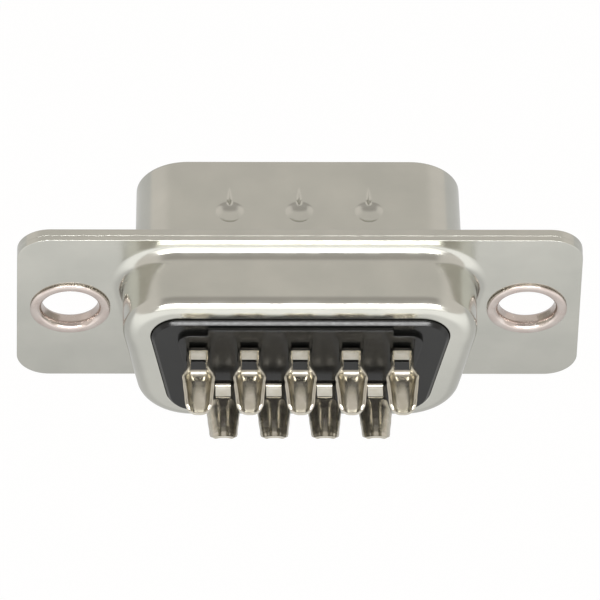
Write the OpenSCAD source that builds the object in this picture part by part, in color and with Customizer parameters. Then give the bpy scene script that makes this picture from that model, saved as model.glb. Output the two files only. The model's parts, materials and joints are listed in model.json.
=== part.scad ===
// Nine-way D-sub plug with solder cups: two drawn shells riveted by two eyelets round a split
// insulator that traps nine stamped contacts, five over four.
//
// Millimetres. X runs along the flange, +Y is the mating direction and +Z points to the row of five.
// The origin is the centre of the flange's front face, which is the face that meets a panel.

/* [Flange] */
// Distance from each mounting hole's centre to the end of the flange
flange_end = 2.91; // [2.6:0.01:3.5]
// How far the flange stands out above and below the box
flange_edge = 0.915; // [0.75:0.005:2.5]
// Corner radius of the flange
flange_corner_r = 1.8; // [0.5:0.1:2.4]
// Distance from each end of the box to the centre of a mounting hole
hole_gap = 2.835; // [2.82:0.005:3.2]
// Thickness of the front shell's flange
front_sheet = 0.45; // [0.35:0.01:0.6]
// Thickness of the rear shell's sheet
rear_sheet = 0.32; // [0.25:0.01:0.45]

/* [Mating shell] */
// How much further in than the box the inside of the mating shell's rim lies at each end
plug_end = 1.2; // [1.1:0.01:1.3]
// How much further in than the box the inside of the mating shell's rim lies above and below
plug_edge = 1.18; // [1.1:0.01:1.3]
// Corner radius inside the mating shell, at its rim
plug_r = 2.4; // [2:0.1:2.7]
// Slant of the D's sides, in degrees
side_slant = 10; // [6:0.5:13]
// Depth of the mating shell, from the flange's front face
plug_depth = 5.83; // [5.6:0.01:6.6]
// How much further out each wall of the mating shell lies at the flange than at the rim
plug_draft = 0.12; // [0:0.01:0.2]
// Thickness of the mating shell's drawn wall
plug_wall = 0.38; // [0.3:0.01:0.42]
// Radius of the fillet between the flange's front face and the mating shell
plug_root_r = 0.45; // [0.2:0.05:0.6]
// Radius that breaks the two edges of the mating shell's rim
rim_break_r = 0.1; // [0.05:0.01:0.14]

/* [Grounding dimples] */
// Distance between neighbouring dimples
dimple_pitch = 3.8; // [2.5:0.1:5]
// Width of a dimple at its round end
dimple_w = 1.6; // [1.2:0.05:1.9]
// Depth of a dimple at its round end
dimple_depth = 0.38; // [0.25:0.01:0.45]
// Distance from the flange's front face to the round end of a dimple
dimple_start = 1.6; // [1.2:0.1:2]
// Length of a dimple, from its round end to its point
dimple_l = 2.75; // [2.2:0.05:3]

/* [Rear shell] */
// Width of the lip at each end of its opening
lip_end = 1.53; // [1.4:0.01:1.7]
// Width of the lip above and below its opening
lip_edge = 1.13; // [1:0.01:1.3]
// Corner radius of the box
box_r = 3.1; // [2.7:0.1:3.4]
// Depth of the box, from the flange's rear face to the back of its lip
box_depth = 3.71; // [3.5:0.01:4.2]
// Radius of the fillet between the flange's rear face and the box
box_root_r = 0.6; // [0.4:0.05:0.8]
// Radius of the box's rear edge
box_edge_r = 0.8; // [0.6:0.05:0.9]
// Distance from each end of the insulator's raised block to the lip's opening
rim_end = 1.33; // [1.2:0.01:1.5]
// Distance from the top and bottom of the block's middle to the lip's opening
rim_edge = 0.38; // [0.36:0.01:0.5]
// Corner radius of the lip's opening
mouth_r = 1.6; // [1.2:0.1:2]
// How far the opening's middle lies below the flange's middle
mouth_drop = 0.06; // [0:0.01:0.15]

/* [Insulator] */
// Clearance between an insulator and a shell
insulator_fit = 0.03; // [0.02:0.01:0.06]
// How far the front insulator stands in front of the flange's front face
front_proud = 0.4; // [0.2:0.05:0.8]
// Thickness of the front insulator's collar, behind the front shell
collar_t = 0.95; // [0.7:0.05:1.2]
// How far the rear insulator's rim stands behind the lip
rim_proud = 0.38; // [0.33:0.01:0.5]
// Radius of the rear insulator's rim
insulator_rim_r = 0.3; // [0.15:0.01:0.32]
// How far the raised block stands behind the rim
block_proud = 0.16; // [0.08:0.01:0.3]
// Distance from the axis of a row's last contact to the end of the raised block
block_end = 1.26; // [1.1:0.01:1.5]
// Thickness of the raised block beyond the far end of a cavity
block_edge = 0.15; // [0.1:0.01:0.25]
// How much shorter the block's taller middle is at each end
block_step_w = 1.75; // [1.7:0.01:2]
// How much taller the block's middle is above and below
block_step_h = 0.6; // [0.3:0.01:0.65]
// Corner radius of the raised block
block_r = 0.7; // [0.4:0.05:0.9]

/* [Contacts] */
// Distance between neighbouring contacts in a row
contact_pitch = 2.77; // [2.74:0.01:2.82]
// Distance between the two rows
row_gap = 2.84; // [2.8:0.01:2.9]
// Diameter of a pin
pin_d = 1; // [0.9:0.01:1.04]
// Distance from the flange's front face to the tip of a pin
pin_reach = 5.15; // [4.8:0.05:5.5]
// Diameter of the rounded end of a pin
pin_end_d = 0.6; // [0.4:0.05:0.7]
// Length of the taper at a pin's tip
pin_taper_l = 0.45; // [0.3:0.05:0.7]
// Diameter of the shoulder that the two insulators trap
shoulder_d = 1.7; // [1.5:0.05:1.9]
// Thickness of the shoulder
shoulder_t = 0.5; // [0.4:0.05:0.6]
// Thickness of the contact's strip
strip_t = 0.18; // [0.15:0.01:0.2]
// Width of the channel between the shoulder and the cup
root_w = 1.23; // [1.2:0.01:1.3]
// Distance from the pin's axis down to the channel's floor
root_drop = 0.265; // [0.25:0.01:0.3]
// Width across the cup's shoulders
cup_w = 1.8; // [1.7:0.01:1.9]
// Width of the cup just before its tip
cup_tip_w = 1.5; // [1.4:0.01:1.6]
// Distance from the pin's axis down to the cup's floor
cup_drop = 0.45; // [0.4:0.01:0.5]
// Height of the cup's and the channel's edges above the pin's axis
edge_rise = 0.36; // [0.3:0.01:0.4]
// Distance from the flange's front face back to the tip of a cup
cup_reach = 8.65; // [8.4:0.05:9.2]
// Width of the tab that is lanced out of the channel's floor
tab_w = 0.84; // [0.7:0.01:0.84]
// Height of the tab above the pin's axis
tab_rise = 0.62; // [0.5:0.01:0.8]
// Length of the window that the tab leaves
window_l = 0.68; // [0.5:0.01:0.75]

/* [Cavities] */
// Clearance between a contact and its cavity's sides
cavity_fit = 0.03; // [0.02:0.01:0.05]
// Distance from the pin's axis to the cavity's near end
cavity_drop = 0.55; // [0.52:0.01:0.6]
// Distance from the pin's axis to the cavity's far end
cavity_rise = 1.68; // [1.5:0.01:1.7]
// Clearance between a pin and its hole
pin_fit = 0.03; // [0.02:0.01:0.05]

/* [Eyelets] */
// Diameter of an eyelet's bore
eyelet_bore = 3.05; // [3:0.01:3.2]
// Thickness of an eyelet's barrel
eyelet_wall = 0.3; // [0.2:0.01:0.35]
// Diameter of an eyelet's rolled rear rim
eyelet_rim_d = 4.4; // [4.3:0.01:4.8]
// Height of an eyelet's rolled rear rim
eyelet_rim_h = 0.3; // [0.25:0.01:0.4]
// Clearance between an eyelet and the flanges
eyelet_fit = 0.02; // [0.01:0.01:0.04]

/* [Hidden] */
$fn = 64;

steel_colour = [0.80, 0.79, 0.75];
contact_colour = [0.72, 0.68, 0.58];
eyelet_colour = [0.82, 0.76, 0.72];
plastic_colour = [0.16, 0.15, 0.16];

// Widths and heights, from the two rows of contacts outwards
contact_steps = 4;
block_w = contact_steps * contact_pitch + 2 * block_end;
block_h = row_gap + 2 * (cavity_rise + block_edge);
block_mid_w = block_w - 2 * block_step_w;
block_mid_h = block_h + 2 * block_step_h;
mouth_w = block_w + 2 * rim_end;
mouth_h = block_mid_h + 2 * rim_edge;
box_w = mouth_w + 2 * lip_end;
box_h = mouth_h + 2 * lip_edge;
plug_w = box_w - 2 * plug_end;
plug_h = box_h - 2 * plug_edge;
hole_pitch = box_w + 2 * hole_gap;
flange_w = hole_pitch + 2 * flange_end;
flange_h = box_h + 2 * flange_edge;

// Planes across the mating direction, from front to back
flange_back = -front_sheet - rear_sheet;
split = -front_sheet - collar_t;
lip_back = flange_back - box_depth;
lip_front = lip_back + rear_sheet;
rim_back = lip_back - rim_proud;
block_back = rim_back - block_proud;
tab_back = block_back - strip_t;
window_back = tab_back - window_l;

// Corner radii of the mating shell's wall, all round the same four centres
plug_in_root = plug_r + plug_draft;
plug_out_root = plug_in_root + plug_wall;
plug_out_rim = plug_r + plug_wall;

// A D is the four centres of its corners, anticlockwise from the upper right, seen along +Y
function d_centres(w, h, r, drop = 0) =
    let (top = w / 2 - r, up = h / 2 - r, low = top - 2 * up * tan(side_slant))
    [[top, up - drop], [-top, up - drop], [-low, -up - drop], [low, -up - drop]];

plug_centres = d_centres(plug_w, plug_h, plug_r);
box_centres = d_centres(box_w, box_h, box_r);
mouth_centres = d_centres(mouth_w, mouth_h, mouth_r, mouth_drop);

// The way each side of a D faces, as an angle from +X towards +Z; side n runs from corner n on
side_faces = [90, 180 + side_slant, 270, 360 - side_slant];
corner_starts = [-side_slant, 90, 180 + side_slant, 270];

// Spacing of what is cut, so that no cut ends flush with a face
over = 1;

// ---- Shared shapes ----

// Turns a flat shape to face the mating direction, between two planes across it
module slab(y0, y1) {
    translate([0, y1, 0]) rotate([90, 0, 0]) linear_extrude(y1 - y0) children();
}

// Turns a revolved shape's axis to the mating direction
module along_y() {
    rotate([-90, 0, 0]) children();
}

// Area of a D, out to a radius round its corners' centres
module d_area(centres, r) {
    facing = [for (a = side_faces) r * [cos(a), sin(a)]];
    polygon([for (i = [0:3]) each [centres[i] + facing[i], centres[(i + 1) % 4] + facing[i]]]);
    for (c = centres) translate(c) circle(r);
}

// Places round a D, each a corner's centre and the way the D faces there
corner_steps = 8;
function d_places(centres) = [
    for (i = [0:3], j = [0:corner_steps])
        [centres[i], corner_starts[i] + (side_faces[i] - corner_starts[i]) * j / corner_steps]
];

// Points of an arc round a centre, from one angle to another
bend_steps = 4;
function arc(centre, r, from, to, steps = bend_steps) =
    [for (i = [0:steps]) let (a = from + (to - from) * i / steps) centre + r * [cos(a), sin(a)]];

// Closed skin over rings of points, each joined to the next, and the last to the first in a loop.
// The first ring's end has the faces given, or one face for a ring that is convex.
module skin(rings, loop = false, end_faces = undef) {
    n = len(rings[0]);
    m = len(rings);
    sides = [
        for (i = [0:loop ? m - 1 : m - 2], j = [0:n - 1])
            let (here = i * n, next = (i + 1) % m * n, k = (j + 1) % n)
            each [[here + j, next + k, here + k], [here + j, next + j, next + k]]
    ];
    first = is_undef(end_faces) ? [[for (j = [0:n - 1]) j]] : end_faces;
    last = [for (f = first) [for (k = [len(f) - 1:-1:0]) f[k] + (m - 1) * n]];
    polyhedron([for (ring = rings) each ring], loop ? sides : concat(sides, first, last));
}

// Sweeps a section round a D: the section's X runs out from the corners' centres, its Y is +Y,
// and its points run clockwise
module d_sweep(centres, section) {
    places = d_places(centres);
    skin([
        for (i = [len(places) - 1:-1:0])
            let (centre = places[i][0], facing = places[i][1])
            [for (p = section) [centre.x + p.x * cos(facing), p.y, centre.y + p.x * sin(facing)]]
    ], loop = true);
}

// Lofts a D through levels, each a plane across +Y and the D's radius there, from front to back
module d_loft(centres, levels) {
    skin([
        for (level = levels)
            [for (place = d_places(centres))
                [place[0].x + level[1] * cos(place[1]), level[0],
                 place[0].y + level[1] * sin(place[1])]]
    ]);
}

// Rectangle with round corners, centred
module round_rect(w, h, r) {
    square([w - 2 * r, h], center = true);
    square([w, h - 2 * r], center = true);
    for (x = [-1, 1], y = [-1, 1]) translate([x * (w / 2 - r), y * (h / 2 - r)]) circle(r);
}

// Puts what follows at both mounting holes
module at_holes() {
    for (side = [-1, 1]) translate([side * hole_pitch / 2, 0, 0]) children();
}

// ---- Shells ----

eyelet_r = eyelet_bore / 2 + eyelet_wall;
hole_r = eyelet_r + eyelet_fit;
// The front head is flared into a countersink, so that the front face stays flat
head_flare = eyelet_rim_d / 2 - eyelet_r - eyelet_wall / 3;
head_depth = front_sheet * 2 / 3;

module flange_outline() {
    difference() {
        round_rect(flange_w, flange_h, flange_corner_r);
        for (side = [-1, 1]) translate([side * hole_pitch / 2, 0]) circle(hole_r);
    }
}

// How far a swept wall's foot or lip reaches into the flat sheet that it belongs to
lap = 0.2;

// Wall of the mating shell with the bend at its foot and the broken edges of its rim
function plug_section() =
    let (foot_r = plug_root_r + plug_wall,
         foot_x = plug_out_root + plug_root_r,
         rim_low = plug_depth - rim_break_r)
    concat(
        [[foot_x + lap, -front_sheet]],
        arc([foot_x, foot_r - front_sheet], foot_r, 270, 180),
        arc([plug_r + rim_break_r, rim_low], rim_break_r, 180, 90, 2),
        arc([plug_out_rim - rim_break_r, rim_low], rim_break_r, 90, 0, 2),
        arc([foot_x, plug_root_r], plug_root_r, 180, 270),
        [[foot_x + lap, 0]]
    );

// A dimple's ball and the cone that tapers from it to a point in the wall, grown by the wall
module dimple_form(grow) {
    ball_r = (dimple_w * dimple_w / 4 + dimple_depth * dimple_depth) / (2 * dimple_depth);
    lift = ball_r - dimple_depth;
    top = plug_centres[0].y + plug_out_root;
    tilt = atan(plug_draft / (plug_depth - plug_root_r));
    translate([0, plug_root_r, top]) rotate([-tilt, 0, 0])
        translate([0, dimple_start + dimple_w / 2 - plug_root_r, lift]) {
            sphere(ball_r + grow);
            along_y() cylinder(h = dimple_l - dimple_w / 2, r1 = ball_r + grow, r2 = lift + grow);
        }
}

module at_dimples() {
    for (i = [-1:1]) translate([i * dimple_pitch, 0, 0]) children();
}

module front_shell() {
    color(steel_colour) difference() {
        union() {
            slab(-front_sheet, 0) difference() {
                flange_outline();
                d_area(plug_centres, plug_out_root + plug_root_r + lap / 2);
            }
            d_sweep(plug_centres, plug_section());
            intersection() {
                at_dimples() dimple_form(plug_wall);
                slab(plug_root_r, plug_depth) d_area(plug_centres, plug_r + plug_wall / 2);
            }
        }
        at_dimples() dimple_form(0);
        at_holes() translate([0, -head_depth, 0]) along_y()
            cylinder(h = head_depth + over, r1 = hole_r,
                     r2 = hole_r + head_flare * (head_depth + over) / head_depth);
    }
}

// Wall of the box with the bends at its foot and at its lip
function box_section() =
    let (foot = [box_r + box_root_r, flange_back - box_root_r],
         edge = [box_r - box_edge_r, lip_back + box_edge_r])
    concat(
        [[foot.x + lap, -front_sheet], [foot.x + lap, flange_back]],
        arc(foot, box_root_r, 90, 180),
        arc(edge, box_edge_r, 0, -90),
        [[edge.x - lap, lip_back], [edge.x - lap, lip_front]],
        arc(edge, box_edge_r - rear_sheet, -90, 0),
        arc(foot, box_root_r + rear_sheet, 180, 90)
    );

module rear_shell() {
    color(steel_colour) {
        slab(flange_back, -front_sheet) difference() {
            flange_outline();
            d_area(box_centres, box_r + box_root_r + lap / 2);
        }
        d_sweep(box_centres, box_section());
        slab(lip_back, lip_front) difference() {
            d_area(box_centres, box_r - box_edge_r - lap / 2);
            d_area(mouth_centres, mouth_r);
        }
    }
}

// ---- Contacts ----

contact_x = [for (i = [0:contact_steps]) (contact_steps / 2 - i) * contact_pitch];
low_contact_x = [for (i = [1:contact_steps]) (contact_x[i - 1] + contact_x[i]) / 2];

// Puts what follows at one contact; a lower one is the upper one turned half a turn round its pin
module at_contact(n) {
    low = n > len(contact_x);
    x = low ? low_contact_x[n - len(contact_x) - 1] : contact_x[n - 1];
    translate([x, 0, (low ? -1 : 1) * row_gap / 2]) rotate([0, low ? 180 : 0, 0]) children();
}

module at_contacts() {
    for (n = [1:9]) at_contact(n) children();
}

// Points of a U from its left edge round its floor to its right edge, each side's corner an arc
u_steps = 5;
function u_half(w, floor, edge, r) =
    let (centre = [w / 2 - r, floor + r],
         low_edge = edge < centre.y,
         first = low_edge ? asin((centre.y - edge) / r) : 0,
         rim_x = centre.x + r * cos(first))
    [[rim_x, edge],
     for (j = [1:u_steps])
        let (a = low_edge ? first + (90 - first) * j / u_steps : 90 * (j - 1) / (u_steps - 1))
        [centre.x + r * cos(a), centre.y - r * sin(a)]];
function u_line(w, floor, edge, r) =
    let (half = u_half(w, floor, edge, r), n = len(half))
    [for (p = half) [-p.x, p.y], for (j = [n - 1:-1:0]) half[j]];

// Stations of the strip from the shoulder to the cup's tip: place, width, floor, edge and corner
channel_front = split - shoulder_t;
flare_l = 0.75;
tip_l = 0.3;
cup_back = -cup_reach;
floor_flat = 0.16;
cup_corner = (cup_w - floor_flat) / 2;
tip_corner = (cup_tip_w - floor_flat) / 2;
tip_edge = 0.34;
stations = [
    [channel_front, root_w, -root_drop, edge_rise, root_w / 4],
    [window_back, root_w, -root_drop, edge_rise, root_w / 4],
    [window_back - flare_l * 0.3, root_w + (cup_w - root_w) * 0.3,
        -root_drop - (cup_drop - root_drop) * 0.2, edge_rise, root_w * 0.32],
    [window_back - flare_l * 0.75, root_w + (cup_w - root_w) * 0.85,
        -root_drop - (cup_drop - root_drop) * 0.8, edge_rise, cup_corner * 0.8],
    [window_back - flare_l, cup_w, -cup_drop, edge_rise, cup_corner],
    [window_back - flare_l * 1.4, cup_w - (cup_w - cup_tip_w) * 0.25, -cup_drop, edge_rise,
        cup_corner * 0.95],
    [cup_back + 2 * tip_l, cup_tip_w + (cup_w - cup_tip_w) * 0.15, -cup_drop,
        edge_rise - 0.14, tip_corner * 1.05],
    [cup_back + tip_l, cup_tip_w, -cup_drop, edge_rise - 0.24, tip_corner],
    [cup_back, cup_tip_w, -cup_drop, -cup_drop + tip_edge, tip_corner],
];

// The strip: every station's outer and inner U, joined to the next station's
module formed_strip() {
    rings = [for (s = stations)
        let (outer = u_line(s[1], s[2], s[3], s[4]),
             inner = u_line(s[1] - 2 * strip_t, s[2] + strip_t, s[3], s[4] - strip_t))
        [for (p = outer) [p.x, s[0], p.y],
         for (j = [len(inner) - 1:-1:0]) [inner[j].x, s[0], inner[j].y]]];
    n = len(rings[0]);
    skin(rings, end_faces = [
        for (j = [0:n / 2 - 2])
            each [[j, n - 1 - j, n - 2 - j], [j, n - 2 - j, j + 1]]
    ]);
}

// Solid pin with its tapered, rounded tip and the shoulder that is trapped at the split
module pin() {
    end_r = pin_end_d / 2;
    taper_back = pin_reach - end_r - pin_taper_l;
    root = channel_front - strip_t;
    along_y() rotate_extrude() {
        translate([0, root]) square([pin_d / 2, taper_back - root]);
        polygon([[0, taper_back], [pin_d / 2, taper_back], [end_r, pin_reach - end_r],
                 [0, pin_reach - end_r]]);
        intersection() {
            translate([0, pin_reach - end_r]) circle(end_r);
            translate([0, pin_reach - end_r]) square(end_r);
        }
        translate([0, channel_front]) square([shoulder_d / 2, shoulder_t]);
    }
}

module contact(n) {
    color(contact_colour) at_contact(n) {
        pin();
        difference() {
            formed_strip();
            translate([-tab_w / 2, window_back, -root_drop - over])
                cube([tab_w, window_l, over + 1.5 * strip_t]);
        }
        translate([-tab_w / 2, tab_back, -root_drop])
            cube([tab_w, strip_t, root_drop + tab_rise]);
    }
}

module contact_1() contact(1);
module contact_2() contact(2);
module contact_3() contact(3);
module contact_4() contact(4);
module contact_5() contact(5);
module contact_6() contact(6);
module contact_7() contact(7);
module contact_8() contact(8);
module contact_9() contact(9);

// ---- Insulator ----

// Depth and width of the flare at the front of a pin's hole
lead_in = 0.15;

module front_insulator() {
    color(plastic_colour) difference() {
        union() {
            slab(split, -front_sheet) d_area(box_centres, box_r - rear_sheet - insulator_fit);
            slab(-front_sheet - lap, front_proud)
                d_area(plug_centres, plug_r - insulator_fit);
        }
        at_contacts() {
            translate([0, split - over, 0]) along_y()
                cylinder(h = front_proud - split + 2 * over, d = pin_d + 2 * pin_fit);
            translate([0, front_proud - lead_in, 0]) along_y()
                cylinder(h = 2 * lead_in, r1 = pin_d / 2 + pin_fit,
                         r2 = pin_d / 2 + 2 * (pin_fit + lead_in));
        }
    }
}

// Levels of the rear insulator's neck: straight through the lip, with a round edge behind it
function neck_levels() =
    let (r = mouth_r - insulator_fit, edge = [r - insulator_rim_r, rim_back + insulator_rim_r])
    concat(
        [[lip_back + box_edge_r, r]],
        [for (p = arc(edge, insulator_rim_r, 0, -90)) [p.y, p.x]]
    );

module rear_insulator() {
    color(plastic_colour) difference() {
        union() {
            slab(lip_back + box_edge_r, split)
                d_area(box_centres, box_r - rear_sheet - insulator_fit);
            slab(lip_front, lip_back + box_edge_r + lap)
                d_area(box_centres, box_r - box_edge_r - insulator_fit);
            d_loft(mouth_centres, neck_levels());
            slab(block_back, rim_back + lap) {
                d_area(d_centres(block_w, block_h, block_r), block_r);
                round_rect(block_mid_w, block_mid_h, block_r / 2);
            }
        }
        at_contacts() {
            translate([0, channel_front - insulator_fit, 0]) along_y()
                cylinder(h = shoulder_t + over, d = shoulder_d + 2 * pin_fit);
            translate([-root_w / 2 - cavity_fit, block_back - over, -cavity_drop])
                cube([root_w + 2 * cavity_fit, channel_front - block_back + over,
                      cavity_drop + cavity_rise]);
        }
    }
}

// ---- Eyelets ----

// Tube with a rolled rim behind the flange and a flared head in the front shell's countersink
module eyelet(side) {
    bore = eyelet_bore / 2;
    rim_r = eyelet_rim_h / 2;
    color(eyelet_colour) translate([side * hole_pitch / 2, 0, 0]) along_y() rotate_extrude() {
        difference() {
            union() {
                translate([bore, flange_back - rim_r]) square([eyelet_wall, rim_r - flange_back]);
                polygon([[bore, -head_depth], [eyelet_r, -head_depth],
                         [eyelet_r + head_flare, 0], [bore, 0]]);
                translate([bore, flange_back - eyelet_rim_h])
                    square([eyelet_rim_d / 2 - rim_r - bore, eyelet_rim_h]);
                translate([eyelet_rim_d / 2 - rim_r, flange_back - rim_r]) circle(rim_r);
            }
            for (end = [[0, 0], [flange_back - eyelet_rim_h, 1]])
                translate([bore, end[0]]) mirror([0, end[1]]) flare();
        }
    }
}

// What is cut from a bore's end to leave a round flare that opens towards +Y
module flare() {
    difference() {
        translate([-over, -eyelet_wall]) square([eyelet_wall + over, eyelet_wall + over]);
        translate([eyelet_wall, -eyelet_wall]) circle(eyelet_wall);
    }
}

module eyelet_left() eyelet(-1);
module eyelet_right() eyelet(1);

front_shell();
rear_shell();
front_insulator();
rear_insulator();
contact_1();
contact_2();
contact_3();
contact_4();
contact_5();
contact_6();
contact_7();
contact_8();
contact_9();
eyelet_left();
eyelet_right();
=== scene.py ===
"""Looks of the nine-way D-sub plug: smooth sheet metal, formed contacts and moulded plastic."""
import json
import math

import bmesh
import bpy
from mathutils import Matrix, Vector
from mathutils.geometry import tessellate_polygon

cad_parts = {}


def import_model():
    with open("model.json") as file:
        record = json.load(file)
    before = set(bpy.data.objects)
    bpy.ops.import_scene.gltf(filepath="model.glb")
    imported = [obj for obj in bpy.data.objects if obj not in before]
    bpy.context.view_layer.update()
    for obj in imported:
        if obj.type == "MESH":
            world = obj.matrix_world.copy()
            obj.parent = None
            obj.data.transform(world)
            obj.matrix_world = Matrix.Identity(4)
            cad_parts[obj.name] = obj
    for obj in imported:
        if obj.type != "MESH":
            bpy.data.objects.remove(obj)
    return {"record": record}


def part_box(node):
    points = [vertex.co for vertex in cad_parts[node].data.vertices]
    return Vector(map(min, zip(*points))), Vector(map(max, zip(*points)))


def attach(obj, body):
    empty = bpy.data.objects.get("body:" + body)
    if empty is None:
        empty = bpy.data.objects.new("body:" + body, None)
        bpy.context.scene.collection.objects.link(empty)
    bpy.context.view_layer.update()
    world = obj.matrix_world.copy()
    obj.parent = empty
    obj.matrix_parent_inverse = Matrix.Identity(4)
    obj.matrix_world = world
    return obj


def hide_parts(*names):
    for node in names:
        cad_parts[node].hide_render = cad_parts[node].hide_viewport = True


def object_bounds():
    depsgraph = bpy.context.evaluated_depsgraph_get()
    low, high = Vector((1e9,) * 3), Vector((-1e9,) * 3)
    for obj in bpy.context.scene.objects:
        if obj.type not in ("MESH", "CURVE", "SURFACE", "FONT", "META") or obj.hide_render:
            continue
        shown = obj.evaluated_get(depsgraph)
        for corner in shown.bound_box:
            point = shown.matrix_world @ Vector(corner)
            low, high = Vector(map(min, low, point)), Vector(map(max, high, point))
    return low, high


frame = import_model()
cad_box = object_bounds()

MM = 0.001


def box_mm(node):
    """A CAD node's lowest and highest corners, in millimetres."""
    low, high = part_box(node)
    return Vector(low) / MM, Vector(high) / MM


# ---- Sizes in millimetres: what the frame gives, then the sheet's and the moulding's own radii ----

front_low, front_high = box_mm("front_shell")
rear_low, rear_high = box_mm("rear_shell")
body_low, body_high = box_mm("rear_insulator")
nose_low, nose_high = box_mm("front_insulator")
holes = next(m for m in frame["record"]["mounts"] if m["name"] == "flange_holes")["dims"]

FLANGE_W = front_high.x - front_low.x
FLANGE_H = front_high.z - front_low.z
FLANGE_CORNER_R = 1.8
HOLE_PITCH = holes["spacing_x_mm"]
BORE_R = holes["hole_r_mm"]
FRONT_SHEET = -front_low.y
REAR_SHEET = 0.32
FLANGE_BACK = rear_high.y - REAR_SHEET
LIP_BACK = rear_low.y
LIP_FRONT = LIP_BACK + REAR_SHEET
SPLIT = nose_low.y
SLANT = 10.0

PLUG_W, PLUG_H, PLUG_R = 16.92, 8.36, 2.4
PLUG_DEPTH = front_high.y
PLUG_DRAFT = 0.12
PLUG_WALL = 0.38
PLUG_ROOT_R = 0.45
RIM_BREAK_R = 0.1

DIMPLE_PITCH = 3.8
DIMPLE_W = 1.6
DIMPLE_DEPTH = 0.28
DIMPLE_START = 1.6
DIMPLE_L = 2.75
DIMPLE_BLEND = 0.03
PIT_FRONT = 0.62
CREASE_W = 0.34
CREASE_DEPTH = 0.22

FIT = 0.03
BOX_W = body_high.x - body_low.x + 2 * (REAR_SHEET + FIT)
BOX_H = body_high.z - body_low.z + 2 * (REAR_SHEET + FIT)
BOX_R = 3.1
BOX_ROOT_R = 0.6
BOX_ROOT_TOP_R = 0.82
BOX_EDGE_R = 0.8
MOUTH_W, MOUTH_H, MOUTH_R, MOUTH_DROP = 16.26, 8.38, 1.6, 0.1

NOSE_FRONT = nose_high.y
RIM_PROUD = 0.27
RIM_BACK = LIP_BACK - RIM_PROUD
RIM_R = 0.18
RIM_ROUND = 0.04
BLOCK_BACK = body_low.y
BLOCK_W, BLOCK_H = 13.6, 6.5
BLOCK_MID_W, BLOCK_MID_H = 10.1, 7.56
BLOCK_CORNER_R = 0.7
BLOCK_EDGE_R = 0.06
BLOCK_BREAK_R = 0.12
CAVITY_EDGE_R = 0.02
CAVITY_CORNER_R = 0.06
NOSE_EDGE_R = 0.1
LEAD_L, LEAD_MID_L = 0.15, 0.02
LEAD_R, LEAD_MID_R = 0.2, 0.16

STRIP = 0.18
STRIP_EDGE_ROUND = 0.035
TAB_BEND_R = 0.06
TAB_FIT = 0.004
TAB_TOP_L = 0.08
# How far in, and how far down, each point of the tab's broken corners lies
TAB_BREAKS = ((0.0, 0.11), (0.015, 0.05), (0.05, 0.012), (0.11, 0.0))
ROOT_W = 1.23
ROOT_DROP = 0.265
ROOT_CORNER = 0.2
CUP_W = 1.8
CUP_TIP_W = 1.5
CUP_DROP = 0.45
EDGE_RISE = 0.36
TAB_RISE = 0.78
EAR_START, EAR_L, EAR_WIDENING = 0.26, 0.2, 1.26
WINDOW_L = 0.68
SHOULDER_T = 0.5
PIN_R = 0.5
PIN_END_R = 0.3
PIN_TAPER = 0.45
PIN_TAPER_LEAD = 0.1
PIN_TAPER_EASE = 0.004
PIN_CENTRE_R = 0.001
SHOULDER_R = 0.85
CAVITY_DROP, CAVITY_RISE, CAVITY_DEPTH = 0.55, 1.68, 0.2
CHANNEL_FRONT = SPLIT - SHOULDER_T
TAB_BACK = BLOCK_BACK - STRIP
WINDOW_BACK = TAB_BACK - WINDOW_L

CONTACTS = [f"contact_{n}" for n in range(1, 10)]

# Thin flat strips kept beside the bends, so that flat faces shade flat
SUPPORT = 0.06
THIN = 0.02

# The cut sheet's edges, and how far apart the rings of a swept wall lie
CUT_EDGE_R = 0.06
EDGE_BREAK_R = 0.025
DIMPLED_WALL_STEP = 0.09
PLAIN_WALL_STEP = 0.4


# ---- Mesh tools ----

class Skin:
    """Points and faces of one closed mesh, in millimetres."""

    def __init__(self):
        self.points = []
        self.faces = []

    def ring(self, points):
        first = len(self.points)
        self.points.extend(points)
        return list(range(first, len(self.points)))

    def bridge(self, a, b, skip=()):
        for j in range(len(a)):
            k = (j + 1) % len(a)
            if j not in skip:
                self.faces.append((a[j], a[k], b[k], b[j]))

    def tube(self, rings):
        for a, b in zip(rings, rings[1:]):
            self.bridge(a, b)
        return rings[0], rings[-1]

    def fill(self, outer, inner=()):
        """Flat face across Y inside one ring and outside the inner ones."""
        loops = [outer, *inner]
        flat = [[Vector((self.points[i][0], self.points[i][2], 0)) for i in loop] for loop in loops]
        index = [i for loop in loops for i in loop]
        self.faces.extend(tuple(index[i] for i in corner) for corner in tessellate_polygon(flat))

    def piece(self, name, look, slot, node, place=None, sharp=40):
        """The finished piece: it rides on the one body and stands for its CAD node."""
        mesh = bpy.data.meshes.new(name)
        mesh.from_pydata([Vector(p) * MM for p in self.points], [], self.faces)
        shape = bmesh.new()
        shape.from_mesh(mesh)
        bmesh.ops.recalc_face_normals(shape, faces=shape.faces)
        shape.to_mesh(mesh)
        shape.free()
        if place is not None:
            mesh.transform(place)
        mesh.polygons.foreach_set("use_smooth", [True] * len(mesh.polygons))
        mesh.set_sharp_from_angle(angle=math.radians(sharp))
        mesh.materials.append(look)
        thing = bpy.data.objects.new(name, mesh)
        bpy.context.scene.collection.objects.link(thing)
        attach(thing, "root")
        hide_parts(node)
        return thing


def arc(centre, r, start, end, steps=8):
    """Points of an arc from one angle to another, in degrees."""
    turns = [math.radians(start + (end - start) * i / steps) for i in range(steps + 1)]
    return [(centre[0] + r * math.cos(t), centre[1] + r * math.sin(t)) for t in turns]


def line(a, b, step):
    """Points between two points, without either, about a step apart."""
    count = max(1, round(math.dist(a, b) / step))
    return [tuple(p + (q - p) * i / count for p, q in zip(a, b)) for i in range(1, count)]


def at_y(loop, y):
    return [(x, y, z) for x, z in loop]


def circle(x, z, r, steps=96):
    turns = [math.tau * i / steps for i in range(steps)]
    return [(x + r * math.cos(t), z + r * math.sin(t)) for t in turns]


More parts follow.
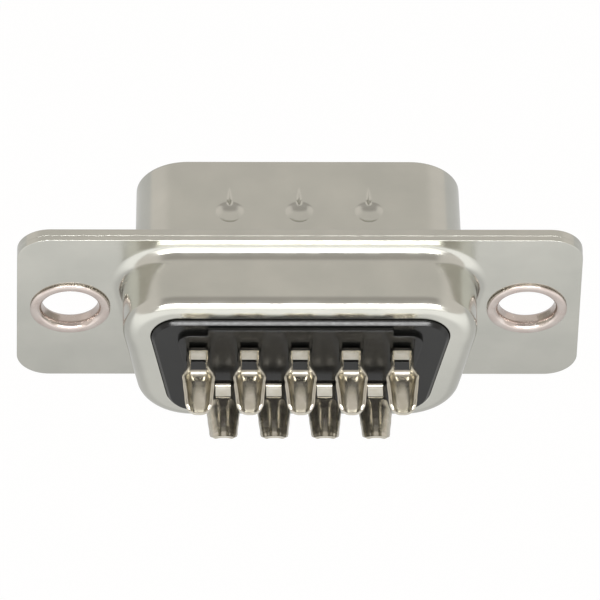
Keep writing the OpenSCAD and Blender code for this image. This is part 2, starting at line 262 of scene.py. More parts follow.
def round_polygon(corners, radii, steps=8):
    """A polygon with each corner turned into an arc."""
    loop = []
    for i, (corner, r) in enumerate(zip(corners, radii)):
        here = Vector(corner)
        back = (Vector(corners[i - 1]) - here).normalized()
        ahead = (Vector(corners[(i + 1) % len(corners)]) - here).normalized()
        half = back.angle(ahead) / 2
        centre = here + (back + ahead).normalized() * r / math.sin(half)
        start = here + back * r / math.tan(half) - centre
        end = here + ahead * r / math.tan(half) - centre
        sweep = start.angle_signed(end)
        for j in range(steps + 1):
            spoke = start.copy()
            spoke.rotate(Matrix.Rotation(-sweep * j / steps, 2))
            loop.append(tuple(centre + spoke))
    return loop


def inset(loop, depth):
    """The same anticlockwise loop moved inwards; a negative depth moves it outwards."""
    moved = []
    for i, point in enumerate(loop):
        here = Vector(point)
        before = (here - Vector(loop[i - 1])).normalized()
        after = (Vector(loop[(i + 1) % len(loop)]) - here).normalized()
        normal = (Vector((-before.y, before.x)) + Vector((-after.y, after.x))).normalized()
        stretch = max(0.3, normal.dot(Vector((-after.y, after.x))))
        moved.append(tuple(here + normal * depth / stretch))
    return moved


def edge_levels(r, face_y, side_y, support=SUPPORT, steps=5):
    """Insets and planes of a round edge, from the flat face to the side, face first."""
    turn = 1 if face_y > side_y else -1
    levels = [(r + support, face_y)]
    for i in range(steps + 1):
        t = math.pi / 2 * i / steps
        levels.append((r - r * math.sin(t), face_y - turn * (r - r * math.cos(t))))
    levels.append((0.0, face_y - turn * (r + support / 2)))
    return levels


# ---- D outlines ----

SIDE_FACES = (90, 180 + SLANT, 270, 360 - SLANT)
CORNER_STARTS = (-SLANT, 90, 180 + SLANT, 270)


def d_centres(w, h, r, drop=0.0):
    """Centres of a D's four corners, anticlockwise from the upper right, seen along +Y."""
    top, up = w / 2 - r, h / 2 - r
    low = top - 2 * up * math.tan(math.radians(SLANT))
    return [(top, up - drop), (-top, up - drop), (-low, -up - drop), (low, -up - drop)]


PLUG = d_centres(PLUG_W, PLUG_H, PLUG_R)
BOX = d_centres(BOX_W, BOX_H, BOX_R)
MOUTH = d_centres(MOUTH_W, MOUTH_H, MOUTH_R, MOUTH_DROP)


def d_places(centres, runs=(40, 12, 32, 12), steps=24):
    """Places round a D: the nearest corner's centre, or a point between two, and the facing."""
    places = []
    for i in range(4):
        here, following = centres[i], centres[(i + 1) % 4]
        for j in range(steps + 1):
            turn = CORNER_STARTS[i] + (SIDE_FACES[i] - CORNER_STARTS[i]) * j / steps
            places.append((*here, math.radians(turn)))
        for j in range(1, runs[i]):
            t = j / runs[i]
            places.append((here[0] + (following[0] - here[0]) * t,
                           here[1] + (following[1] - here[1]) * t, math.radians(SIDE_FACES[i])))
    return places


def d_ring(places, r, y):
    """Points round a D at a radius and a plane; either may be a function of the facing."""
    points = []
    for x, z, facing in places:
        out = r(facing) if callable(r) else r
        points.append((x + out * math.cos(facing), y(facing) if callable(y) else y,
                       z + out * math.sin(facing)))
    return points


# ---- Shells ----

FLANGE = round_polygon(
    [(FLANGE_W / 2, FLANGE_H / 2), (-FLANGE_W / 2, FLANGE_H / 2),
     (-FLANGE_W / 2, -FLANGE_H / 2), (FLANGE_W / 2, -FLANGE_H / 2)], [FLANGE_CORNER_R] * 4, 20)
EYELET_WALL = 0.3
EYELET_R = BORE_R + EYELET_WALL
EYELET_FIT = 0.02


def flange(skin, front_y, back_y, front_edge, back_edge, front_d, back_d, front_hole, back_hole):
    """The flat sheet round a swept wall, with its round cut edges and its two holes."""
    levels = edge_levels(front_edge, front_y, back_y, THIN)
    levels += edge_levels(back_edge, back_y, front_y, THIN)[::-1]
    front, back = skin.tube([skin.ring(at_y(inset(FLANGE, d), y)) for d, y in levels])
    bores = [
        skin.tube([skin.ring(at_y(circle(side * HOLE_PITCH / 2, 0, r), y))
                   for r, y in ((front_hole, front_y), (back_hole, back_y))])
        for side in (-1, 1)
    ]
    skin.fill(front, [front_d, *(bore[0] for bore in bores)])
    skin.fill(back, [back_d, *(bore[1] for bore in bores)])


def dimple_depth(x, y):
    """How deep the wall is pressed in: a round pit near the flange, then a narrow crease."""
    along = y - DIMPLE_START - DIMPLE_W / 2
    across = min(abs(x - i * DIMPLE_PITCH) for i in (-1, 0, 1))
    reach = DIMPLE_W / 2 if along < 0 else PIT_FRONT
    depth = DIMPLE_DEPTH * (1 - (across * 2 / DIMPLE_W) ** 2 - (along / reach) ** 2)
    if along > 0:
        left = max(1 - along / (DIMPLE_L - DIMPLE_W / 2), 0.0)
        depth = max(depth, CREASE_DEPTH * (left - (across * 2 / CREASE_W) ** 2))
    if abs(depth) < DIMPLE_BLEND:
        return (depth + DIMPLE_BLEND) ** 2 / (4 * DIMPLE_BLEND)
    return max(depth, 0.0)


def front_shell(look):
    """Flange and tapered mating shell, outside first, with the dimples in its wide side."""
    skin = Skin()
    foot_r = PLUG_ROOT_R + PLUG_WALL
    in_root, out_root = PLUG_R + PLUG_DRAFT, PLUG_R + PLUG_DRAFT + PLUG_WALL
    out_rim = PLUG_R + PLUG_WALL
    foot_x = out_root + PLUG_ROOT_R
    rim_low = PLUG_DEPTH - RIM_BREAK_R
    levels = [(foot_x + SUPPORT, 0.0)]
    levels += arc((foot_x, PLUG_ROOT_R), PLUG_ROOT_R, 270, 180)
    levels += line((out_root, PLUG_ROOT_R), (out_rim, rim_low), DIMPLED_WALL_STEP)
    levels += arc((out_rim - RIM_BREAK_R, rim_low), RIM_BREAK_R, 0, 90, 4)
    levels += arc((PLUG_R + RIM_BREAK_R, rim_low), RIM_BREAK_R, 90, 180, 4)
    levels += line((PLUG_R, rim_low), (in_root, foot_r - FRONT_SHEET), DIMPLED_WALL_STEP)
    levels += arc((foot_x, foot_r - FRONT_SHEET), foot_r, 180, 270)
    levels += [(foot_x + SUPPORT, -FRONT_SHEET)]
    top = PLUG[0][1] + PLUG_R / 2
    places = d_places(PLUG, runs=(150, 10, 32, 10))
    rings = []
    for r, y in levels:
        points = d_ring(places, r, y)
        if y > PLUG_ROOT_R:
            points = [(x, y, z - dimple_depth(x, y)) if z > top else (x, y, z)
                      for x, y, z in points]
        rings.append(skin.ring(points))
    front_d, back_d = skin.tube(rings)
    flare = EYELET_R + FLARE
    flange(skin, 0.0, -FRONT_SHEET, CUT_EDGE_R, EDGE_BREAK_R, front_d, back_d,
           flare + EYELET_FIT, EYELET_R + EYELET_FIT)
    return skin.piece("mating_shell", look, "plated_steel", "front_shell")


def root_r(facing):
    """The box's root is rounder above and below, where it comes near the flange's edge."""
    return BOX_ROOT_R + (BOX_ROOT_TOP_R - BOX_ROOT_R) * math.sin(facing) ** 4


def root_bend(grow, start, end, steps=14):
    """The bend between the flange and the box, or the same bend on the sheet's other side."""
    levels = []
    for i in range(steps + 1):
        turn = math.radians(start + (end - start) * i / steps)
        levels.append((
            lambda f, t=turn: BOX_R + root_r(f) + (root_r(f) + grow) * math.cos(t),
            lambda f, t=turn: FLANGE_BACK - root_r(f) + (root_r(f) + grow) * math.sin(t)))
    return levels


def root_foot(facing):
    """Radius at which the root bend meets the flange."""
    return BOX_R + root_r(facing) + THIN


def rear_shell(look):
    """Flange and box, inside first, turned in at the back to the lip round the mouth."""
    skin = Skin()
    edge = (BOX_R - BOX_EDGE_R, LIP_BACK + BOX_EDGE_R)
    foot_y = FLANGE_BACK - BOX_ROOT_TOP_R
    break_r = CUT_EDGE_R
    inner = BOX_R - REAR_SHEET
    levels = [(BOX, root_foot, -FRONT_SHEET)]
    levels += [(BOX, *p) for p in root_bend(REAR_SHEET, 90, 180)]
    levels += [(BOX, *p) for p in line((inner, foot_y), (inner, edge[1]), PLAIN_WALL_STEP)]
    levels += [(BOX, *p) for p in arc(edge, BOX_EDGE_R - REAR_SHEET, 0, -90)]
    levels += [(BOX, edge[0] - SUPPORT, LIP_FRONT), (MOUTH, MOUTH_R + break_r + SUPPORT, LIP_FRONT)]
    for y, start in ((LIP_FRONT - break_r, 90), (LIP_BACK + break_r, 180)):
        levels += [(MOUTH, *p) for p in arc((MOUTH_R + break_r, y), break_r, start, start + 90, 4)]
    levels += [(MOUTH, MOUTH_R + break_r + SUPPORT, LIP_BACK), (BOX, edge[0] - SUPPORT, LIP_BACK)]
    levels += [(BOX, *p) for p in arc(edge, BOX_EDGE_R, -90, 0, 16)]
    levels += [(BOX, *p) for p in line((BOX_R, edge[1]), (BOX_R, foot_y), PLAIN_WALL_STEP)]
    levels += [(BOX, *p) for p in root_bend(0, 180, 90)]
    levels += [(BOX, root_foot, FLANGE_BACK)]
    front_d, back_d = skin.tube(
        [skin.ring(d_ring(d_places(centres), r, y)) for centres, r, y in levels])
    flange(skin, -FRONT_SHEET, FLANGE_BACK, EDGE_BREAK_R, EDGE_BREAK_R, front_d, back_d,
           EYELET_R + EYELET_FIT, EYELET_R + EYELET_FIT)
    return skin.piece("rear_box_shell", look, "plated_steel", "rear_shell")


# ---- Eyelets ----

EYELET_RIM_R = (box_mm("eyelet_left")[1].x - box_mm("eyelet_left")[0].x) / 2
EYELET_ROLL_H = 0.18
EYELET_BACK = FLANGE_BACK - EYELET_ROLL_H
BACK_FLARE_L = 0.55
HEAD_DEPTH = FRONT_SHEET * 2 / 3
FLARE = EYELET_RIM_R - EYELET_R - EYELET_WALL / 3
# Width of the rolled rim's crown over its height
CROWN = 2.4


def eyelet(side, name, look):
    """A tube rolled over at the back and flared into the front shell's countersink."""
    roll = (FLANGE_BACK - EYELET_BACK) / 2
    profile = arc((BORE_R + EYELET_WALL, -EYELET_WALL), EYELET_WALL, 180, 90)
    profile += [(EYELET_R + FLARE, 0.0), (EYELET_R, -HEAD_DEPTH), (EYELET_R, FLANGE_BACK)]
    profile += arc((EYELET_RIM_R - roll, FLANGE_BACK - roll), roll, 90, 0, 6)
    profile += [(EYELET_RIM_R + roll * CROWN * (x - 1), FLANGE_BACK - roll + roll * y)
                for x, y in arc((0, 0), 1, 0, -90, 12)][1:]
    profile += [(BORE_R + EYELET_WALL * (1 + x), EYELET_BACK + BACK_FLARE_L * (1 + y))
                for x, y in arc((0, 0), 1, 270, 180, 12)]
    skin = Skin()
    rings = [skin.ring(at_y(circle(side * HOLE_PITCH / 2, 0, r), y)) for r, y in profile]
    skin.tube([*rings, rings[0]])
    return skin.piece(f"{name}_rivet", look, "plated_eyelet", name)


# ---- Contacts ----

def u_half(w, floor, edge, r, steps=8, wall=3):
    """Right half of a U from its edge down to its floor."""
    centre = (w / 2 - r, floor + r)
    if edge >= centre[1]:
        points = [(w / 2, edge + (centre[1] - edge) * i / wall) for i in range(wall)]
        return points + arc(centre, r, 0, -90, steps)
    first = math.degrees(math.asin((centre[1] - edge) / r))
    return arc(centre, r, -first, -90, steps + wall)


def u_loop(w, floor, edge, r):
    """Closed section of the strip: outer line, one edge, inner line, the other edge."""
    outer = u_half(w, floor, edge, r)
    inner = u_half(w - 2 * STRIP, floor + STRIP, edge, max(r - STRIP, 0.02))
    right = [(outer[0][0] + (inner[0][0] - outer[0][0]) * t, edge + STRIP_EDGE_ROUND)
             for t in (0.3, 0.7)]
    left = [(-x, z) for x, z in right]
    mirrored = [(-x, z) for x, z in outer]
    inner_left = [(-x, z) for x, z in inner]
    return mirrored + outer[::-1] + right + inner + inner_left[::-1] + left[::-1]


def smooth_between(a, b, t):
    """A value between two others that leaves and reaches them smoothly."""
    t = t * t * (3 - 2 * t)
    return a + (b - a) * t


FLARE_L = 0.75
RAMP_L = 0.3
TIP_L = 0.3
TIP_ROUND = 0.2
TIP_ROUND_L = 0.8
CUP_BACK = box_mm("contact_1")[0].y
CUP_FLOOR_HALF_W = 0.08
CUP_CORNER = CUP_W / 2 - CUP_FLOOR_HALF_W
TIP_CORNER = CUP_TIP_W / 2 - CUP_FLOOR_HALF_W
# The strip's sections: closer together than SAME_STATION they count as one
SAME_STATION = 0.02
SAME_PLACE = 1e-6

# Place, width, floor, edge and corner radius of the strip, from the shoulder to the cup's tip
STATIONS = [
    (CHANNEL_FRONT, ROOT_W, -ROOT_DROP, EDGE_RISE, ROOT_CORNER),
    (WINDOW_BACK, ROOT_W, -ROOT_DROP, EDGE_RISE, ROOT_CORNER),
    (WINDOW_BACK - FLARE_L, CUP_W, -CUP_DROP, EDGE_RISE, CUP_CORNER),
    (WINDOW_BACK - FLARE_L * 1.5, CUP_W - 0.08, -CUP_DROP, EDGE_RISE - 0.02, CUP_CORNER - 0.04),
    (CUP_BACK + 2 * TIP_L, CUP_TIP_W + 0.05, -CUP_DROP, EDGE_RISE - 0.14, TIP_CORNER + 0.02),
    (CUP_BACK + TIP_L, CUP_TIP_W, -CUP_DROP, EDGE_RISE - 0.24, TIP_CORNER),
    (CUP_BACK, CUP_TIP_W - 0.06, -CUP_DROP + 0.02, -CUP_DROP + 0.32, TIP_CORNER - 0.03),
]


def strip_sections(step=0.04):
    """The stations with smooth ones between them, as (y, width, floor, edge, corner)."""
    sections = []
    for a, b in zip(STATIONS, STATIONS[1:]):
        count = max(2, round((a[0] - b[0]) / step))
        for i in range(count):
            t = i / count
            y = a[0] + (b[0] - a[0]) * t
            w, floor, edge, r = (smooth_between(p, q, t) for p, q in zip(a[1:], b[1:]))
            if WINDOW_BACK - FLARE_L < y < WINDOW_BACK:
                ramp = min(1.0, (WINDOW_BACK - y) / RAMP_L)
                floor = smooth_between(-ROOT_DROP, -CUP_DROP, ramp)
            sections.append((y, w, floor, edge, r))
    sections.append(STATIONS[-1])
    return sections


def rounded_tip(points, width):
    """Near the cup's end the strip's two sides stop short of its middle."""
    rounded = []
    for x, y, z in points:
        near = max(0.0, 1 - (y - CUP_BACK) / TIP_ROUND_L)
        rounded.append((x, y + TIP_ROUND * near * near * abs(2 * x / width) ** 3, z))
    return rounded


def contact_skin():
    """One contact round its own pin's axis, its cup open upwards."""
    skin = Skin()
    window_front = TAB_BACK + STRIP + TAB_BEND_R
    sections = [s for s in strip_sections() if abs(s[0] - window_front) > SAME_STATION]
    sections.append((window_front, *STATIONS[0][1:]))
    sections.sort(reverse=True)
    rings = [skin.ring(rounded_tip(at_y(u_loop(*s[1:]), s[0]), s[1])) for s in sections]
    half = len(u_half(*STATIONS[0][1:]))
    outer_left, outer_right = half - 1, half
    inner_right = 3 * half + 1
    inner_left = inner_right + 1
    for a, b, here, following in zip(rings, rings[1:], sections, sections[1:]):
        in_window = (here[0] <= window_front + SAME_PLACE
                     and following[0] >= WINDOW_BACK - SAME_PLACE)
        skin.bridge(a, b, skip=(outer_left, inner_right) if in_window else ())
        if in_window:
            skin.faces.append((a[outer_left], b[outer_left], b[inner_left], a[inner_left]))
            skin.faces.append((b[outer_right], a[outer_right], a[inner_right], b[inner_right]))
    for ring, section in zip(rings, sections):
        if min(abs(section[0] - y) for y in (window_front, WINDOW_BACK)) < SAME_PLACE:
            skin.faces.append((ring[outer_left], ring[outer_right],
                               ring[inner_right], ring[inner_left]))
    for ring in (rings[0], rings[-1]):
        count = len(ring)
        # An end is closed by quads between the outer line and the inner line
        outer = ring[:2 * half]
        inner = ring[2 * half + 2:4 * half + 2][::-1]
        for j in range(2 * half - 1):
            skin.faces.append((outer[j], outer[j + 1], inner[j + 1], inner[j]))
        skin.faces.append((ring[2 * half - 1], ring[2 * half], ring[2 * half + 1],
                           ring[2 * half + 2]))
        skin.faces.append((ring[4 * half + 1], ring[4 * half + 2], ring[count - 1], ring[0]))
    tab(skin, window_front)
    pin(skin)
    return skin


def eared(x, y, z):
    """The tab is wider where it stands above the channel's edges."""
    rise = min(1.0, max(0.0, (z - EAR_START) / EAR_L))
    return (x * smooth_between(1.0, EAR_WIDENING, rise), y, z)


def tab(skin, root_y):
    """The tab lanced from the window: bent up from the floor's end, with its corners broken."""
    half_w = ROOT_W / 2 - ROOT_CORNER - TAB_FIT
    floor = -ROOT_DROP
    outer_r = root_y - TAB_BACK
    inner_r = outer_r - STRIP
    centre = (root_y, floor + outer_r)
    top = TAB_RISE
    back = [(root_y, floor), *arc(centre, outer_r, 270, 180, 6), (TAB_BACK, top - TAB_TOP_L),
            (TAB_BACK, top)]
    front = [(root_y, floor + STRIP), *arc(centre, inner_r, 270, 180, 6),
             (TAB_BACK + STRIP, top - TAB_TOP_L), (TAB_BACK + STRIP, top)]
    profile = back[1:] + front[:0:-1]
    breaks = [(side * (half_w - inwards), drop) for side, steps in ((-1, 1), (1, -1))
              for inwards, drop in TAB_BREAKS[::steps]]
    rings = [skin.ring([eared(x, y, min(z, top - drop)) for y, z in profile]) for x, drop in breaks]
    skin.tube(rings)
    for ring in (rings[0], rings[-1]):
        count = len(ring) // 2
        for j in range(count - 1):
            skin.faces.append((ring[j], ring[j + 1], ring[-2 - j], ring[-1 - j]))


def pin(skin):
    """The pin with its tapered, rounded tip and the shoulder trapped between the insulators."""
    reach = box_mm("contact_1")[1].y
    tip = reach - PIN_END_R
    profile = [(PIN_CENTRE_R, CHANNEL_FRONT - STRIP), (PIN_R, CHANNEL_FRONT - STRIP),
               (PIN_R, CHANNEL_FRONT), (SHOULDER_R, CHANNEL_FRONT), (SHOULDER_R, SPLIT),
               (PIN_R, SPLIT), (PIN_R, tip - PIN_TAPER - PIN_TAPER_LEAD),
               (PIN_R - PIN_TAPER_EASE, tip - PIN_TAPER)]
    profile += arc((0, tip), PIN_END_R, 12, 88, 8)
    rings = [skin.ring([(x, y, z) for x, z in circle(0, 0, r, 48)]) for r, y in profile]
    skin.tube(rings)
    skin.fill(rings[0])
    skin.fill(rings[-1])


def contact(node, shape, look):
    """One contact in its place; the row of four has its cups turned the other way up."""
    low, high = box_mm(node)
    middle = (low + high) / 2
    turn = Matrix.Rotation(math.pi if middle.z < 0 else 0.0, 4, "Y")
    place = Matrix.Translation(Vector((middle.x, 0, middle.z)) * MM) @ turn
    shape.piece(f"{node}_strip", look, "plated_contact", node, place)


# ---- Insulators ----

def pin_axes():
    """Places of the nine contacts, from their CAD boxes."""
    middles = [(box_mm(node)[0] + box_mm(node)[1]) / 2 for node in CONTACTS]
    return [(m.x, m.z) for m in middles]


def rear_insulator(look):
    """Body inside the box, rim through its mouth, and the raised block with nine recesses."""
    skin = Skin()
    body_r = BOX_R - REAR_SHEET - FIT
    step_y = LIP_BACK + BOX_EDGE_R
    neck_r = MOUTH_R - FIT
    levels = [(BOX, body_r, SPLIT), (BOX, body_r, step_y),
              (BOX, BOX_R - BOX_EDGE_R - FIT, step_y), (BOX, BOX_R - BOX_EDGE_R - FIT, LIP_FRONT),
              (MOUTH, neck_r, LIP_FRONT)]
    slope = RIM_ROUND * math.tan(math.radians(22.5))
    levels += [(MOUTH, *p) for p in arc(
        (neck_r - RIM_ROUND, RIM_BACK + RIM_R + slope), RIM_ROUND, 0, -45, 4)]
    levels += [(MOUTH, *p) for p in arc(
        (neck_r - RIM_R - slope, RIM_BACK + RIM_ROUND), RIM_ROUND, -45, -90, 4)]
    levels += [(MOUTH, neck_r - RIM_R - SUPPORT / 2, RIM_BACK)]
    front, rim = skin.tube([skin.ring(d_ring(d_places(c), r, y)) for c, r, y in levels])
    low_w = BLOCK_W / 2 - BLOCK_H * math.tan(math.radians(SLANT))
    mid_w, mid_h, end_h = BLOCK_MID_W / 2, BLOCK_MID_H / 2, BLOCK_H / 2
    corners = [(mid_w, mid_h), (-mid_w, mid_h), (-mid_w, end_h), (-BLOCK_W / 2, end_h),
               (-low_w, -end_h), (-mid_w, -end_h), (-mid_w, -mid_h), (mid_w, -mid_h),
               (mid_w, -end_h), (low_w, -end_h), (BLOCK_W / 2, end_h), (mid_w, end_h)]
    small = BLOCK_BREAK_R
    radii = [small, small, small, BLOCK_CORNER_R, small * 2, small, small, small, small,
             small * 2, BLOCK_CORNER_R, small]
    block = round_polygon(corners, radii)
    base = skin.ring(at_y(block, RIM_BACK))
    sides = [skin.ring(at_y(inset(block, d), y))
             for d, y in edge_levels(BLOCK_EDGE_R, BLOCK_BACK, RIM_BACK, THIN)[::-1]]
    skin.tube([base, *sides])
    skin.fill(rim, [base])
    mouths = []
    for x, z in pin_axes():
        up = 1 if z > 0 else -1
        half_w = ROOT_W / 2 + FIT
        low, high = sorted((z - up * CAVITY_DROP, z + up * CAVITY_RISE))
        cavity = round_polygon([(x + half_w, high), (x - half_w, high), (x - half_w, low),
                                (x + half_w, low)], [CAVITY_CORNER_R] * 4, 4)
        walls = [skin.ring(at_y(inset(cavity, -d), y))
                 for d, y in edge_levels(CAVITY_EDGE_R, BLOCK_BACK, SPLIT, THIN)]
        walls.append(skin.ring(at_y(cavity, BLOCK_BACK + CAVITY_DEPTH)))
        mouth, end = skin.tube(walls)
        skin.fill(end)
        mouths.append(mouth)
    skin.fill(sides[-1], mouths)
    skin.fill(front)
    return skin.piece("rear_moulding", look, "insulator", "rear_insulator")


def front_insulator(look):
    """Nose inside the mating shell, with a lead-in at each pin's bore."""
    skin = Skin()
    body_r = BOX_R - REAR_SHEET - FIT
    nose_r = PLUG_R - FIT
    edge_r = NOSE_EDGE_R
    levels = [(BOX, body_r, SPLIT), (BOX, body_r, -FRONT_SHEET), (PLUG, nose_r, -FRONT_SHEET)]
    levels += [(PLUG, *p) for p in arc((nose_r - edge_r, NOSE_FRONT - edge_r), edge_r, 0, 90, 5)]
    levels += [(PLUG, nose_r - edge_r - SUPPORT, NOSE_FRONT)]
    back, front = skin.tube([skin.ring(d_ring(d_places(c), r, y)) for c, r, y in levels])
    bores = []
    for x, z in pin_axes():
        rings = [skin.ring(at_y(circle(x, z, r, 48), y)) for r, y in (
            (PIN_R + FIT, SPLIT), (PIN_R + FIT, NOSE_FRONT - LEAD_L),
            (PIN_R + LEAD_MID_R, NOSE_FRONT - LEAD_MID_L), (PIN_R + LEAD_R, NOSE_FRONT))]
        bores.append(skin.tube(rings))
    skin.fill(back, [bore[0] for bore in bores])
    skin.fill(front, [bore[1] for bore in bores])
    return skin.piece("front_moulding", look, "insulator", "front_insulator")


# ---- Materials ----

class Look:
    """A node material in the object's own coordinates, in millimetres."""

    def __init__(self, name, colour, metallic, roughness):
        self.material = bpy.data.materials.new(name)
        self.material.use_nodes = True
        self.nodes = self.material.node_tree.nodes
        self.links = self.material.node_tree.links
        self.shader = self.nodes["Principled BSDF"]
        self.shader.inputs["Base Color"].default_value = (*colour, 1)
        self.shader.inputs["Metallic"].default_value = metallic
        self.shader.inputs["Roughness"].default_value = roughness
        self.coords = self.nodes.new("ShaderNodeTexCoord")

    def noise(self, scale, detail=3.0, stretch=(1, 1, 1)):
        mapping = self.nodes.new("ShaderNodeMapping")
        mapping.inputs["Scale"].default_value = [s / MM for s in stretch]
        texture = self.nodes.new("ShaderNodeTexNoise")
        texture.inputs["Scale"].default_value = scale
        texture.inputs["Detail"].default_value = detail
        self.links.new(self.coords.outputs["Object"], mapping.inputs["Vector"])
        self.links.new(mapping.outputs["Vector"], texture.inputs["Vector"])
        return texture.outputs["Fac"]

    def spread(self, source, low, high, start=0.35, end=0.65):
        node = self.nodes.new("ShaderNodeMapRange")
        for key, value in zip(("From Min", "From Max", "To Min", "To Max"),
                              (start, end, low, high)):
            node.inputs[key].default_value = value
        self.links.new(source, node.inputs["Value"])
        return node.outputs["Result"]

    def tint(self, source, dark, light):
        ramp = self.nodes.new("ShaderNodeValToRGB")
        ramp.color_ramp.elements[0].position = 0.3
        ramp.color_ramp.elements[0].color = (*dark, 1)
        ramp.color_ramp.elements[1].position = 0.7
        ramp.color_ramp.elements[1].color = (*light, 1)
        self.links.new(source, ramp.inputs["Fac"])
        self.links.new(ramp.outputs["Color"], self.shader.inputs["Base Color"])

    def rough(self, source, low, high):
        self.links.new(self.spread(source, low, high), self.shader.inputs["Roughness"])

    def bump(self, source, height):
        """Bumps of a height in millimetres."""
        node = self.nodes.new("ShaderNodeBump")
        node.inputs["Distance"].default_value = height * MM
        self.links.new(source, node.inputs["Height"])
        self.links.new(node.outputs["Normal"], self.shader.inputs["Normal"])


def plated_steel():
    look = Look("plated_steel", (0.56, 0.56, 0.51), 1.0, 0.24)
    patches = look.noise(0.35, 4.0)
    drawn = look.noise(2.5, 2.0, (0.1, 1.0, 1.0))
    look.tint(patches, (0.53, 0.53, 0.485), (0.585, 0.58, 0.53))
    look.rough(look.noise(1.3, 2.0), 0.17, 0.22)
    look.bump(drawn, 0.0012)
    return look.material


def plated_contact():
    look = Look("plated_contact", (0.60, 0.56, 0.48), 1.0, 0.24)
    look.tint(look.noise(1.5, 2.0), (0.53, 0.50, 0.42), (0.61, 0.58, 0.51))
    look.rough(look.noise(2.0, 2.0), 0.2, 0.27)
    look.bump(look.noise(3.0, 1.0, (1.0, 0.2, 1.0)), 0.0008)
    return look.material


def plated_eyelet():
    look = Look("plated_eyelet", (0.60, 0.53, 0.49), 1.0, 0.22)
    look.tint(look.noise(1.2, 3.0), (0.56, 0.48, 0.44), (0.63, 0.57, 0.53))
    look.rough(look.noise(3.0, 4.0), 0.17, 0.28)
    look.bump(look.noise(5.0, 2.0), 0.001)
    return look.material


def black_moulding():
    look = Look("black_moulding", (0.009, 0.009, 0.009), 0.0, 0.3)
    look.tint(look.noise(0.8, 3.0), (0.006, 0.0063, 0.006), (0.009, 0.0095, 0.0085))
    look.rough(look.noise(3.0, 2.0), 0.18, 0.24)
    look.shader.inputs["Specular IOR Level"].default_value = 0.38
    look.bump(look.noise(6.0, 2.0), 0.001)
    return look.material


# ---- Stage ----

FLOOR_HALF_SIZE = 1.5
FLOOR_DROP = 30 * MM
# Strength of the floor's glow: to the camera, then in reflections far in front and near
CAMERA_GLOW = 1.06
FAR_GLOW, FAR_Y = 1.52, -55 * MM
NEAR_GLOW, NEAR_Y = 0.74, -20 * MM
GLOW_SHARE = 0.85

def white_floor():
    """Pale floor, white to the camera; reflections see it brighter in front of the object."""
    look = Look("floor", (0.85, 0.85, 0.85), 0.0, 0.9)
    nodes, links = look.nodes, look.links
    glow = nodes.new("ShaderNodeEmission")
    paths = nodes.new("ShaderNodeLightPath")
    seen = nodes.new("ShaderNodeMath")
    seen.operation = "MAXIMUM"
    share = nodes.new("ShaderNodeMath")
    share.operation = "MULTIPLY"
    share.inputs[1].default_value = GLOW_SHARE
    place = nodes.new("ShaderNodeSeparateXYZ")
    links.new(look.coords.outputs["Object"], place.inputs["Vector"])
    reflected = look.spread(place.outputs["Y"], FAR_GLOW, NEAR_GLOW, FAR_Y, NEAR_Y)
    bright = nodes.new("ShaderNodeMath")
    bright.operation = "MULTIPLY_ADD"
    less = nodes.new("ShaderNodeMath")
    less.operation = "SUBTRACT"
    less.inputs[1].default_value = CAMERA_GLOW
    links.new(reflected, less.inputs[0])
    links.new(less.outputs["Value"], bright.inputs[0])
    links.new(paths.outputs["Is Glossy Ray"], bright.inputs[1])
    bright.inputs[2].default_value = CAMERA_GLOW
    links.new(bright.outputs["Value"], glow.inputs["Strength"])
    mix = nodes.new("ShaderNodeMixShader")
    links.new(paths.outputs["Is Camera Ray"], seen.inputs[0])
    links.new(paths.outputs["Is Glossy Ray"], seen.inputs[1])
    links.new(seen.outputs["Value"], share.inputs[0])
    links.new(share.outputs["Value"], mix.inputs["Fac"])
    links.new(look.shader.outputs["BSDF"], mix.inputs[1])
    links.new(glow.outputs["Emission"], mix.inputs[2])
    links.new(mix.outputs["Shader"], nodes["Material Output"].inputs["Surface"])
    return look.material


def floor():
    size = FLOOR_HALF_SIZE
    height = cad_box[0][2] - FLOOR_DROP
    mesh = bpy.data.meshes.new("floor")
    mesh.from_pydata([(-size, -size, height), (size, -size, height), (size, size, height),
                      (-size, size, height)], [], [(0, 1, 2, 3)])
    mesh.materials.append(white_floor())
    thing = bpy.data.objects.new("floor", mesh)
    bpy.context.scene.collection.objects.link(thing)


def lamp(name, elevation, distance, width, depth, radiance, diffuse=True):
    """A soft box on the cups' side, aimed at the origin; its elevation is in degrees."""
    data = bpy.data.lights.new(name, "AREA")
    data.shape = "RECTANGLE"
    data.size, data.size_y = width, depth
    data.energy = radiance * math.pi * width * depth
    thing = bpy.data.objects.new(name, data)
    up = math.radians(elevation)
    towards = Vector((0.0, -math.cos(up), math.sin(up)))
    thing.location = towards * distance
    thing.visible_diffuse = diffuse
    thing.rotation_euler = towards.to_track_quat("Z", "Y").to_euler()
    bpy.context.scene.collection.objects.link(thing)


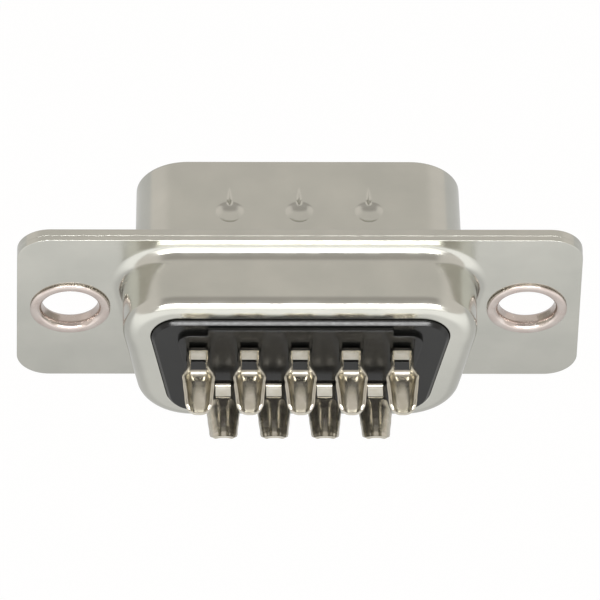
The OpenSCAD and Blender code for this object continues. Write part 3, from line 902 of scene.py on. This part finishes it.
def world():
    """A plain pale room: darker on the cups' side, lighter beyond the plug and at both sides."""
    room = bpy.data.worlds.new("room")
    room.use_nodes = True
    nodes, links = room.node_tree.nodes, room.node_tree.links
    background = nodes["Background"]
    coords = nodes.new("ShaderNodeTexCoord")
    axes = nodes.new("ShaderNodeSeparateXYZ")
    sideways = nodes.new("ShaderNodeMath")
    sideways.operation = "ABSOLUTE"
    links.new(coords.outputs["Generated"], axes.inputs["Vector"])
    links.new(axes.outputs["X"], sideways.inputs[0])
    colour = (0.50, 0.475, 0.45, 1)
    for source, start, end, tone in (
            (axes.outputs["Y"], 0.0, 0.35, (0.76, 0.73, 0.69, 1)),
            (sideways.outputs["Value"], 0.5, 0.66, (0.88, 0.84, 0.80, 1))):
        share = nodes.new("ShaderNodeMapRange")
        share.inputs["From Min"].default_value = start
        share.inputs["From Max"].default_value = end
        links.new(source, share.inputs["Value"])
        mix = nodes.new("ShaderNodeMixRGB")
        links.new(share.outputs["Result"], mix.inputs["Fac"])
        if isinstance(colour, tuple):
            mix.inputs["Color1"].default_value = colour
        else:
            links.new(colour, mix.inputs["Color1"])
        mix.inputs["Color2"].default_value = tone
        colour = mix.outputs["Color"]
    links.new(colour, background.inputs["Color"])
    bpy.context.scene.world = room


def camera():
    """A long lens above the cups' side; aim and field are in the plane through the origin."""
    elevation, azimuth, roll = (math.radians(a) for a in (54.4, -2.4, 2.0))
    distance = 696 * MM
    field = 32.853 * MM
    aim = (0.091 * MM, -0.203 * MM)
    back = Vector((math.sin(azimuth) * math.cos(elevation),
                   -math.cos(azimuth) * math.cos(elevation), math.sin(elevation)))
    level = Vector((math.cos(azimuth), math.sin(azimuth), 0))
    upright = back.cross(level)
    right = level * math.cos(roll) + upright * math.sin(roll)
    up = upright * math.cos(roll) - level * math.sin(roll)
    data = bpy.data.cameras.new("camera")
    data.sensor_width = 36
    data.lens = data.sensor_width * distance / field
    data.clip_start, data.clip_end = 0.05, 10
    thing = bpy.data.objects.new("camera", data)
    turn = Matrix((right, up, back)).transposed().to_4x4()
    thing.matrix_world = Matrix.Translation(back * distance + right * aim[0] + up * aim[1]) @ turn
    bpy.context.scene.collection.objects.link(thing)
    bpy.context.scene.camera = thing


# ---- The scene ----

camera()
world()
floor()
lamp("front_box", 17, 1.0, 1.2, 0.54, 1.5)
lamp("front_strip", 35.5, 1.0, 1.1, 0.12, 22.0, diffuse=False)

steel = plated_steel()
front_shell(steel)
rear_shell(steel)
rivet_look = plated_eyelet()
for side, name in ((-1, "eyelet_left"), (1, "eyelet_right")):
    eyelet(side, name, rivet_look)
contact_look = plated_contact()
contact_shape = contact_skin()
for node in CONTACTS:
    contact(node, contact_shape, contact_look)
plastic = black_moulding()
rear_insulator(plastic)
front_insulator(plastic)

bpy.context.scene.view_settings.view_transform = "Standard"
